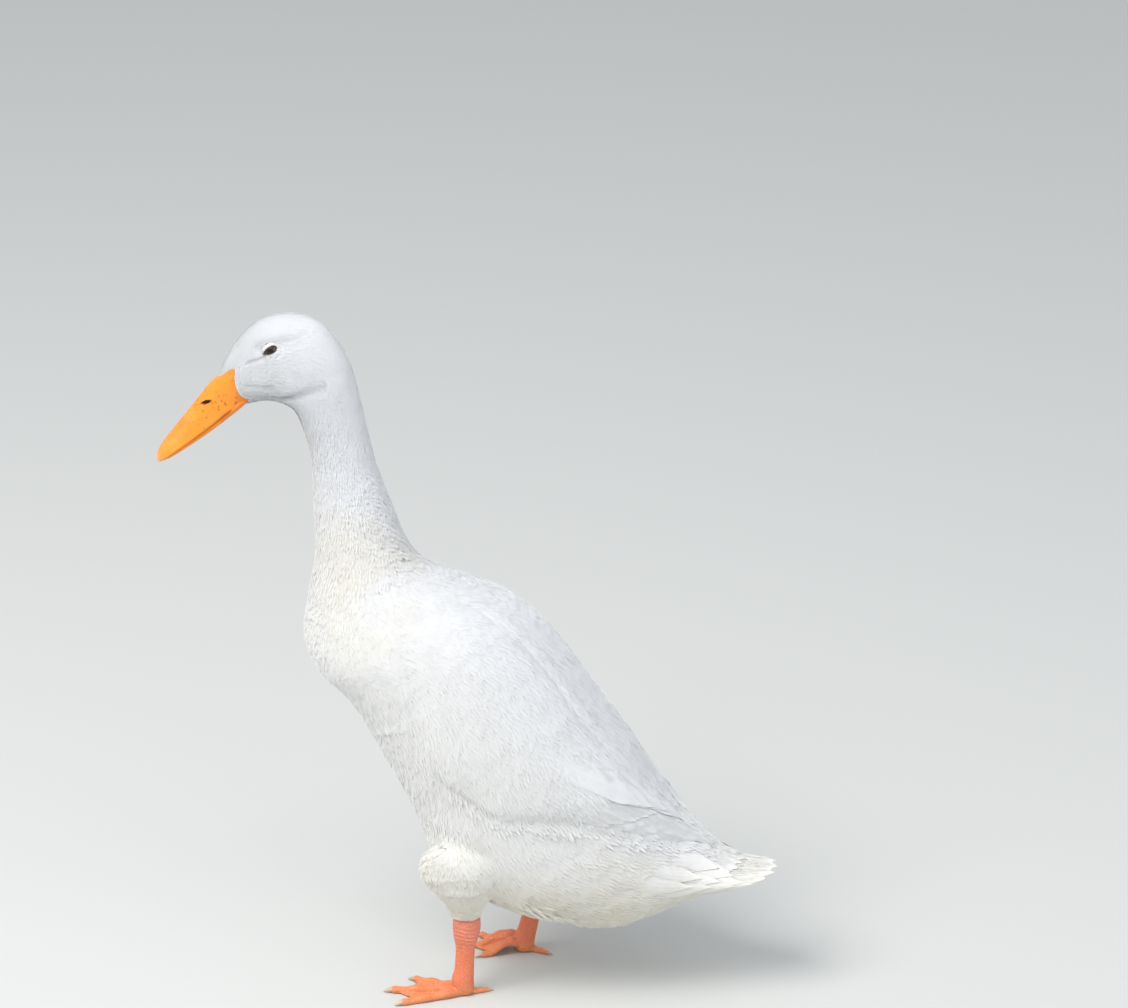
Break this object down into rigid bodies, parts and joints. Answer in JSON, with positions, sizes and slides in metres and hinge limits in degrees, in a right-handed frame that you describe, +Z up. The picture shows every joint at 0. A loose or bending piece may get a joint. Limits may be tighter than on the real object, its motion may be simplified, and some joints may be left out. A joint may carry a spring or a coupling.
{
  "type": "indian runner duck",
  "caption": "Still life-size model of a white runner duck standing upright with folded wings.",
  "frame": {"origin": "on the floor under the middle of the bounding box", "axes": "+Z up, -Y the way the duck faces, +X the duck's left side"},
  "size_m": [0.1348, 0.4104, 0.4655],
  "materials": {
    "plumage": "soft white feathers",
    "bill": "satin orange horn",
    "leg": "scaled salmon orange skin",
    "claw": "horn",
    "eye": "wet dark"
  },
  "bodies": {
    "root": {"head": "plumage", "neck": "plumage", "torso": "plumage", "tail": "plumage", "wing_left": "plumage", "wing_right": "plumage", "thigh_left": "plumage", "thigh_right": "plumage", "bill_upper": "bill", "bill_lower": "bill", "eye_left": "eye", "eye_right": "eye", "shank_left": "leg", "shank_right": "leg", "foot_left": "leg", "foot_right": "leg", "claw_middle_left": "claw", "claw_middle_right": "claw", "claw_inner_left": "claw", "claw_inner_right": "claw", "claw_outer_left": "claw", "claw_outer_right": "claw", "claw_hind_left": "claw", "claw_hind_right": "claw"}
  },
  "joints": []
}
